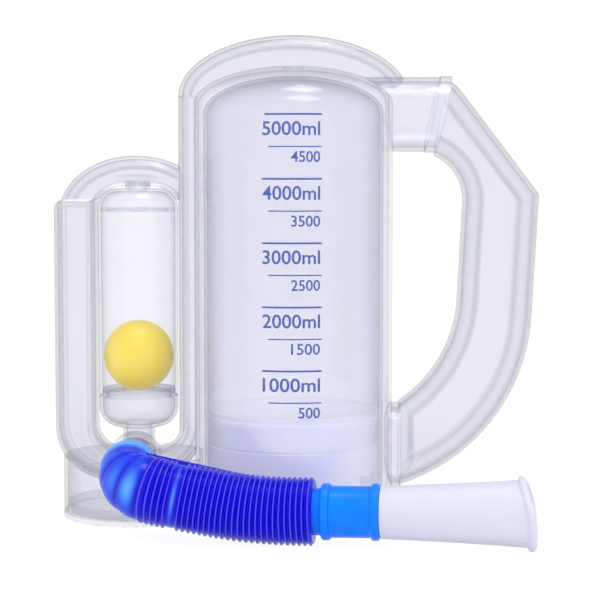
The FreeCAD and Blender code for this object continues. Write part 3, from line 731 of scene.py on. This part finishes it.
class TRAINER_OT_clear_mouldings(bpy.types.Operator):
    """Finishes every clear moulding as polished styrene with smooth curved faces"""

    bl_idname = "trainer.clear_mouldings"
    bl_label = "Clear mouldings"

    def execute(self, context):
        jacket = jacket_plastic()
        groups = (
            (("outer_jacket",), "clear_jacket", jacket),
            (("ball_stop",), "clear_styrene", jacket),
            (("measuring_cylinder", "flow_tube"), "clear_jacket", cylinder_plastic()),
            (CLEAR_DUCTS, "clear_styrene", duct_plastic()),
            (CLEAR_ROUNDS, "clear_styrene", round_plastic()),
        )
        for nodes, slot, plastic in groups:
            for node in nodes:
                finish_piece(merged_copy(node, "polished_" + node), "root", plastic, [node])
        collar = merged_copy("handle_collar", "welded_collar")
        finish_piece(collar, "root", frosted_plastic(), ["handle_collar"])
        return {"FINISHED"}


FULL_VOLUME = 5000  # millilitres
VOLUME_STEP = 500
SCALE_LINES = 10
SCALE_TOP = 199.0  # height of the topmost line
SCALE_STEP = 15.27  # height of each volume step
SCALE_HALF_WIDTH = 13.8
MAJOR_LEFT = -15.2  # of every line at a thousand but the topmost
MINOR_LEFT = -12.0
MAJOR_LINE = 0.9  # thickness
MINOR_LINE = 0.6
MAJOR_TEXT_DROP = 10.0  # from a line to the foot of its figures
MINOR_TEXT_DROP = 7.4
MAJOR_TEXT_WIDTH = 27.9
MINOR_TEXT_WIDTH = 14.0  # of four figures
FOUR_FIGURES = 4
TEXT_INDENT = 0.8  # the figures end a little short of the lines
TEXT_BOLDER = 0.012  # how far the outline of the figures grows, in figures' own units
PRINT_STRIPS = 28  # that the print is cut into, so that it can bend
PRINT_WELD = 1e-7  # metres
INK_SHARE = 0.7  # of the lift


class TRAINER_OT_scale_print(bpy.types.Operator):
    """Prints the volume scale on the front of the measuring cylinder"""

    bl_idname = "trainer.scale_print"
    bl_label = "Scale print"

    def execute(self, context):
        values = settings()
        low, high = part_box("measuring_cylinder")
        self.radius = (high.x - low.x) / 2
        self.lift = values.print_lift
        marks = []
        for step in range(SCALE_LINES):
            line_z = (SCALE_TOP - SCALE_STEP * step) * MM
            text = str(FULL_VOLUME - VOLUME_STEP * step)
            if step % 2 == 0:
                left = -SCALE_HALF_WIDTH if step == 0 else MAJOR_LEFT
                thickness = MAJOR_LINE
                height = values.major_height
                width = MAJOR_TEXT_WIDTH
                drop = MAJOR_TEXT_DROP
                text += "ml"
            else:
                left = MINOR_LEFT
                thickness = MINOR_LINE
                height = values.minor_height
                width = MINOR_TEXT_WIDTH * len(text) / FOUR_FIGURES
                drop = MINOR_TEXT_DROP
            marks.append(self.add_line(left, SCALE_HALF_WIDTH, line_z, thickness))
            marks.append(self.add_text(text, height, width * MM, line_z - drop * MM))
        select_only(marks[0])
        for mark in marks:
            mark.select_set(True)
        bpy.ops.object.join()
        piece = context.active_object
        piece.name = "printed_scale"
        self.wrap(piece)
        finish_piece(piece, "root", printed_ink())
        return {"FINISHED"}

    def add_line(self, left, right, line_z, thickness):
        """A flat bar in the front view, cut into short lengths that can follow the cylinder."""
        bpy.ops.mesh.primitive_grid_add(x_subdivisions=24, y_subdivisions=1, size=1)
        bar = bpy.context.active_object
        size = Matrix.Diagonal(((right - left) * MM, thickness * MM, 1, 1))
        stand_up = Matrix.Rotation(math.pi / 2, 4, "X")
        place = Matrix.Translation(((left + right) / 2 * MM, 0, line_z))
        bar.data.transform(place @ stand_up @ size)
        return bar

    def add_text(self, text, height, width, foot_z):
        """Figures of a set height and width that end a little short of the lines' right end."""
        bpy.ops.object.text_add()
        figures = bpy.context.active_object
        figures.data.body = text
        figures.data.resolution_u = 4
        figures.data.offset = TEXT_BOLDER
        select_only(figures)
        bpy.ops.object.convert(target="MESH")
        vertices = figures.data.vertices
        first = min(v.co.x for v in vertices)
        reach = max(v.co.x for v in vertices) - first
        # The height is that of the figures in the left half, because the letters beside them differ
        heights = [v.co.y for v in vertices if v.co.x < first + reach / 2]
        foot = min(heights)
        rise = max(heights) - foot
        right = (SCALE_HALF_WIDTH - TEXT_INDENT) * MM
        for vertex in vertices:
            across = (vertex.co.x - first) / reach
            up = (vertex.co.y - foot) / rise
            vertex.co = (right - width * (1 - across), 0, foot_z + height * up)
        return figures

    def wrap(self, piece):
        """Cuts the print into narrow strips, bends it round the cylinder and gives it a thickness."""
        edit_all(piece)
        for i in range(1, PRINT_STRIPS):
            x = (MAJOR_LEFT + (SCALE_HALF_WIDTH - MAJOR_LEFT) * i / PRINT_STRIPS) * MM
            bpy.ops.mesh.select_all(action="SELECT")
            bpy.ops.mesh.bisect(plane_co=(x, 0, 0), plane_no=(1, 0, 0))
        bpy.ops.object.mode_set(mode="OBJECT")
        radius = self.radius + self.lift
        for vertex in piece.data.vertices:
            angle = vertex.co.x / radius
            vertex.co = (radius * math.sin(angle), -radius * math.cos(angle), vertex.co.z)
        join_points(piece, gap=PRINT_WELD)
        for polygon in piece.data.polygons:
            faces_back = polygon.normal.y > 0
            if faces_back:
                polygon.flip()
        solidify = piece.modifiers.new("ink", "SOLIDIFY")
        solidify.thickness = self.lift * INK_SHARE
        solidify.offset = -1
        apply_modifiers(piece)


class TRAINER_OT_piston(bpy.types.Operator):
    """Models the white piston with its rim, wiper ring and the stand under it"""

    bl_idname = "trainer.piston"
    bl_label = "Piston"

    def execute(self, context):
        values = settings()
        colour = tuple(values.piston_colour)
        wiper_shade = 0.97
        wiper_colour = tuple(c * wiper_shade for c in colour)
        # glow is a painted glow: emission that lifts the piston, its wiper ring and its stand, which sit
        # in the tower's shade.
        white = satin_polythene("white_polythene_piston", colour, roughness=0.38, glow=0.14)
        wiper_white = satin_polythene(
            "white_polythene_wiper", wiper_colour, roughness=0.3, glow=0.22
        )
        finish_piece(self.piston(), "piston", white, ["piston_body"])
        wiper = merged_copy("piston_wiper", "wiper_ring")
        soften(wiper, width_mm=0.3, segments=2)
        finish_piece(wiper, "piston", wiper_white, ["piston_wiper"])
        stand = merged_copy("piston_stand", "stand_ring")
        finish_piece(stand, "root", wiper_white, ["piston_stand"])
        return {"FINISHED"}

    def piston(self):
        """The piston's cup: a dished crown, the wiper's groove and a bead round the skirt's foot."""
        low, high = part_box("piston_body")
        groove_low, groove_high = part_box("piston_wiper")
        radius = (high.x - low.x) / 2 / MM
        skirt_past_cad = 0.22
        top = high.z / MM
        bottom = low.z / MM - skirt_past_cad
        ring_low = groove_low.z / MM
        ring_high = groove_high.z / MM
        depth = 1.2  # of the groove
        wall = 1.3
        dish = 1.1
        dish_floor_inset = 9.0
        dish_rim_inset = 6.0
        bead = 0.4
        bead_foot = 0.5
        bead_head = 1.7
        bead_end = 2.2
        outline = [
            (top - dish, 0.0),
            (top - dish, radius - dish_floor_inset),
            (top, radius - dish_rim_inset),
            (top, radius),
            (ring_high, radius),
            (ring_high, radius - depth),
            (ring_low, radius - depth),
            (ring_low, radius),
            (bottom + bead_end, radius),
            (bottom + bead_head, radius + bead),
            (bottom + bead_foot, radius + bead),
            (bottom, radius),
            (bottom, radius - wall),
            (ring_low - wall, radius - wall),
            (ring_low - wall, radius - depth - wall),
            (top - dish - wall, radius - depth - wall),
            (top - dish - wall, 0.0),
        ]
        corners = {1: 2.0, 2: 2.0, 3: 0.9, 4: 0.3, 7: 0.3, 9: 0.2, 10: 0.2, 12: 0.4}
        piece = spun("moulded_piston", rounded(outline, corners), PISTON_STEPS, axis="Z")
        smooth(piece, PISTON_EDGE)
        return piece


class TRAINER_OT_float_ball(bpy.types.Operator):
    """Models the hollow yellow ball with the fine seam of its mould"""

    bl_idname = "trainer.float_ball"
    bl_label = "Float ball"

    def execute(self, context):
        low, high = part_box("float_ball")
        centre = (low + high) / 2
        clearance = 0.02 * MM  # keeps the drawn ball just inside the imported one
        radius = min(high.x - low.x, high.z - low.z) / 2 - clearance
        bpy.ops.mesh.primitive_uv_sphere_add(segments=96, ring_count=64, radius=radius)
        ball = context.active_object
        ball.name = "yellow_float_ball"
        seam_half = 0.25 * MM
        seam_drop = 0.06 * MM
        for vertex in ball.data.vertices:
            if abs(vertex.co.z) < seam_half:
                vertex.co.xy *= (radius - seam_drop) / radius
        seam_slope = Matrix.Rotation(math.radians(24), 4, "Y")
        seam_nod = Matrix.Rotation(math.radians(12), 4, "X")
        ball.data.transform(Matrix.Translation(centre) @ seam_slope @ seam_nod)
        smooth(ball, BALL_EDGE)
        finish_piece(ball, "ball", ball_plastic(), ["float_ball"])
        return {"FINISHED"}


# Corrugations in their order from the port: pulled open, dense, one gap, then regular ones
STRETCHED = 4
DENSE = 5
REGULAR = 24
STRETCHED_SHARE = 2.4  # lengths of a corrugation, in pitches of a regular one
DENSE_SHARE = 0.9
GAP_SHARE = 1.5
PULLED_STEPS = 12  # points along a corrugation
CLOSED_STEPS = 8

HOSE_CREST = 15.85
HOSE_NECK_CREST = 12.4  # beside the port
NECK_WIDENING = 0.4  # of the first corrugation
HOSE_DEPTH = 1.3
HOSE_BORE = 10.4

# Forms of the corrugations: powers of a wave, for its shape and for how far its pale crest reaches; the
# pale crest is partly a painted highlight
ARCH_GROOVE = 0.45
ARCH_SHAPE = 0.4
ARCH_CREST = 0.8
GAP_RISE = 0.2
GAP_CREST = 2
RING_SHAPE = 0.95
RING_CREST = 14

GAP_OPENNESS = 0.8  # the gap is less pale than the pulled corrugations
SHEEN_SIDE = Vector((-0.3, -0.95, 0.1)).normalized()  # where the painted sheen on the pulled corrugations is strongest, toward the camera and key light
SHEEN_FOCUS = 9


class TRAINER_OT_corrugated_hose(bpy.types.Operator):
    """Models the corrugated hose ring by ring and lays it along its route"""

    bl_idname = "trainer.corrugated_hose"
    bl_label = "Corrugated hose"

    def execute(self, context):
        path = self.route()
        length = sum(spline.calc_length() for spline in path.data.splines)
        outline, facts = self.profile(length / MM)
        tube = spun("corrugated_bellows", outline, SPUN_STEPS)
        self.paint(tube, facts)
        bend = tube.modifiers.new("lie", "CURVE")
        bend.object = path
        bend.deform_axis = "POS_X"
        apply_modifiers(tube)
        path_data = path.data
        bpy.data.objects.remove(path)
        bpy.data.curves.remove(path_data)
        join_points(tube, turn_outwards=True)
        self.mark_painted_sheen(tube)
        smooth(tube, BELLOWS_EDGE)
        finish_piece(tube, "hose", hose_plastic(), ["corrugated_hose"])
        return {"FINISHED"}

    def route(self):
        """The line that the hose lies along, straight where it enters the outlet cuff."""
        direction, _ = outlet_place()
        points = [Vector(p) for p in HOSE_ROUTE]
        points += [HOSE_END - direction * step for step in HOSE_END_STEPS]
        data = bpy.data.curves.new("hose_line", "CURVE")
        data.dimensions = "3D"
        data.resolution_u = 64
        spline = data.splines.new("NURBS")
        spline.points.add(len(points) - 1)
        for point, place in zip(spline.points, points):
            point.co = (*place, 1)
        spline.order_u = 4
        spline.use_endpoint_u = True
        path = bpy.data.objects.new("hose_line", data)
        bpy.context.scene.collection.objects.link(path)
        return path

    def profile(self, length):
        """The bellows drawn straight, and how pale and how far pulled open it is at each point."""
        shares = [STRETCHED_SHARE] * STRETCHED + [DENSE_SHARE] * DENSE + [GAP_SHARE]
        shares += [1.0] * REGULAR
        pitch = length / sum(shares)
        outline = [(0.0, HOSE_NECK_CREST - HOSE_DEPTH / 2)]
        facts = [(0.0, 1.0)]
        start = 0.0
        for number, share in enumerate(shares):
            widening = min(1.0, (number + NECK_WIDENING) / STRETCHED)
            crest = HOSE_NECK_CREST + (HOSE_CREST - HOSE_NECK_CREST) * widening
            arched = number < STRETCHED
            pulled = share > 1
            openness = 1.0 if arched else GAP_OPENNESS
            steps = PULLED_STEPS if pulled else CLOSED_STEPS
            for k in range(1, steps + 1):
                t = k / steps
                wave = 0.5 - 0.5 * math.cos(FULL_TURN * t)
                if arched:
                    rise = 1 - ARCH_GROOVE * (1 - wave ** ARCH_SHAPE)
                    pale = wave ** ARCH_CREST
                elif pulled:
                    rise = GAP_RISE * wave
                    pale = wave ** GAP_CREST
                else:
                    rise = wave ** RING_SHAPE
                    pale = wave ** RING_CREST
                outline.append((start + pitch * share * t, crest - HOSE_DEPTH * (1 - rise)))
                facts.append((pale, openness if pulled else 0.0))
            start += pitch * share
        places = [round(along, 3) for along, _ in outline]
        outline += [(length, HOSE_BORE), (0.0, HOSE_BORE)]
        return outline, dict(zip(places, facts))

    def paint(self, tube, facts):
        """Stores, at each point, whether it is on a crest and whether its corrugation is pulled open."""
        crest = tube.data.attributes.new("crest", "FLOAT", "POINT")
        pulled = tube.data.attributes.new("pulled", "FLOAT", "POINT")
        for i, vertex in enumerate(tube.data.vertices):
            fact = facts.get(round(vertex.co.x / MM, 3), (0.0, 0.0))
            crest.data[i].value, pulled.data[i].value = fact

    def mark_painted_sheen(self, tube):
        """Stores a painted sheen, in the thin attribute, on the pulled corrugations' crests, strongest
        where the surface faces the camera and key light.
        """
        crest = tube.data.attributes["crest"]
        pulled = tube.data.attributes["pulled"]
        thin = tube.data.attributes.new("thin", "FLOAT", "POINT")
        for i, vertex in enumerate(tube.data.vertices):
            faced = max(0.0, vertex.normal.dot(SHEEN_SIDE)) ** SHEEN_FOCUS
            thin.data[i].value = faced * crest.data[i].value * pulled.data[i].value


class TRAINER_OT_cuffs(bpy.types.Operator):
    """Models the cuff on the port and the azure cuff that holds the mouthpiece"""

    bl_idname = "trainer.cuffs"
    bl_label = "Cuffs"

    def execute(self, context):
        values = settings()
        azure = cuff_plastic("azure_polythene_cuff", tuple(values.cuff_colour), AZURE_THIN)
        finish_piece(self.outlet(), "hose", azure, ["outlet_cuff"])
        pale = cuff_plastic("light_blue_polythene_cuff", tuple(values.inlet_colour), INLET_THIN)
        inlet = merged_copy("inlet_cuff", "port_cuff")
        soften(inlet, width_mm=0.35, segments=3)
        finish_piece(inlet, "hose", pale, ["inlet_cuff"])
        return {"FINISHED"}

    def outlet(self):
        """The azure cuff: a short neck inside the hose, then a barrel between two beads."""
        neck = 3.6
        neck_r = 10.9
        cuff_r = 11.9
        bead_r = 13.1
        bead_w = 4.2
        bead_slope = 0.8
        length = 30.5
        wall = 1.5
        outline = [
            (0, neck_r),
            (neck, neck_r),
            (neck, bead_r),
            (neck + bead_w, bead_r),
            (neck + bead_w, cuff_r),
            (length - bead_w, cuff_r),
            (length - bead_w + bead_slope, bead_r),
            (length, bead_r),
            (length, cuff_r - wall),
            (neck + bead_w, cuff_r - wall),
            (neck, neck_r - wall),
            (0, neck_r - wall),
        ]
        corners = {1: 0.5, 2: 1.2, 3: 1.2, 4: 0.7, 5: 0.9, 6: 0.8, 7: 1.3, 8: 0.4}
        piece = spun("azure_cuff", rounded(outline, corners), SPUN_STEPS)
        _, place = outlet_place()
        piece.data.transform(place)
        smooth(piece, SPUN_EDGE)
        return piece


class TRAINER_OT_mouthpiece(bpy.types.Operator):
    """Models the flared mouthpiece with its rolled, slanting lip"""

    bl_idname = "trainer.mouthpiece"
    bl_label = "Mouthpiece"

    def execute(self, context):
        start = 30.8  # along the hose's end direction, from the hose's last ring
        length = 70.5
        end = start + length
        wall = 1.4
        spigot = 14.0  # how deep it sits in the cuff
        spigot_r = 10.1
        start_r = 12.1
        end_r = 15.3
        lip = 4.2
        lip_r = 17.2
        lip_rise = 0.62  # of the lip's width, from the end
        lip_taper = 0.2
        first_third = 0.35
        first_flare = 0.95
        second_third = 0.7
        second_flare = 2.1
        outline = [
            (start - spigot, spigot_r),
            (start, spigot_r),
            (start, start_r),
            (start + length * first_third, start_r + first_flare),
            (start + length * second_third, start_r + second_flare),
            (end - lip, end_r),
            (end - lip * lip_rise, lip_r),
            (end, lip_r - lip_taper),
            (end, end_r - wall),
            (end - lip, end_r - wall),
            (start + length / 2, (start_r + end_r) / 2 - wall),
            (start, spigot_r - wall),
            (start - spigot, spigot_r - wall),
        ]
        corners = {0: 0.4, 2: 0.5, 5: 2.0, 6: 1.5, 7: 1.5, 8: 0.9, 12: 0.3}
        piece = spun("frosted_mouthpiece", rounded(outline, corners), SPUN_STEPS)
        slant = 0.15  # the lip leans back at its top
        side_slant = -0.02
        bow = 9.5  # and curves back above and below, per metre
        for vertex in piece.data.vertices:
            share = (vertex.co.x / MM - start) / length
            share = min(1.0, max(0.0, share)) ** 2
            side, height = vertex.co.yz
            vertex.co.x -= (height * slant + height * height * bow - side * side_slant) * share
        _, place = outlet_place()
        piece.data.transform(place)
        smooth(piece, SPUN_EDGE)
        finish_piece(piece, "mouthpiece", mouthpiece_plastic(), ["mouthpiece"])
        return {"FINISHED"}


class TRAINER_PT_panel(bpy.types.Panel):
    """Lists the steps of the trainer's finish"""

    bl_idname = "TRAINER_PT_panel"
    bl_label = "Breathing Trainer"
    bl_space_type = "VIEW_3D"
    bl_region_type = "UI"
    bl_category = "Trainer"

    def draw(self, context):
        for step in STEPS:
            self.layout.operator(step.bl_idname)
        for name in TrainerSettings.__annotations__:
            self.layout.prop(context.scene.trainer, name)


STEPS = (
    TRAINER_OT_stage,
    TRAINER_OT_clear_mouldings,
    TRAINER_OT_scale_print,
    TRAINER_OT_piston,
    TRAINER_OT_float_ball,
    TRAINER_OT_corrugated_hose,
    TRAINER_OT_cuffs,
    TRAINER_OT_mouthpiece,
)
CLASSES = (TrainerSettings, *STEPS, TRAINER_PT_panel)


def register():
    """Makes the trainer's settings, steps and panel known."""
    for cls in CLASSES:
        bpy.utils.register_class(cls)
    bpy.types.Scene.trainer = bpy.props.PointerProperty(type=TrainerSettings)


def unregister():
    """Takes them away again."""
    del bpy.types.Scene.trainer
    for cls in reversed(CLASSES):
        bpy.utils.unregister_class(cls)


def main():
    """Runs every step in order."""
    register()
    bpy.ops.trainer.stage()
    bpy.ops.trainer.clear_mouldings()
    bpy.ops.trainer.scale_print()
    bpy.ops.trainer.piston()
    bpy.ops.trainer.float_ball()
    bpy.ops.trainer.corrugated_hose()
    bpy.ops.trainer.cuffs()
    bpy.ops.trainer.mouthpiece()


if __name__ == "__main__":
    main()
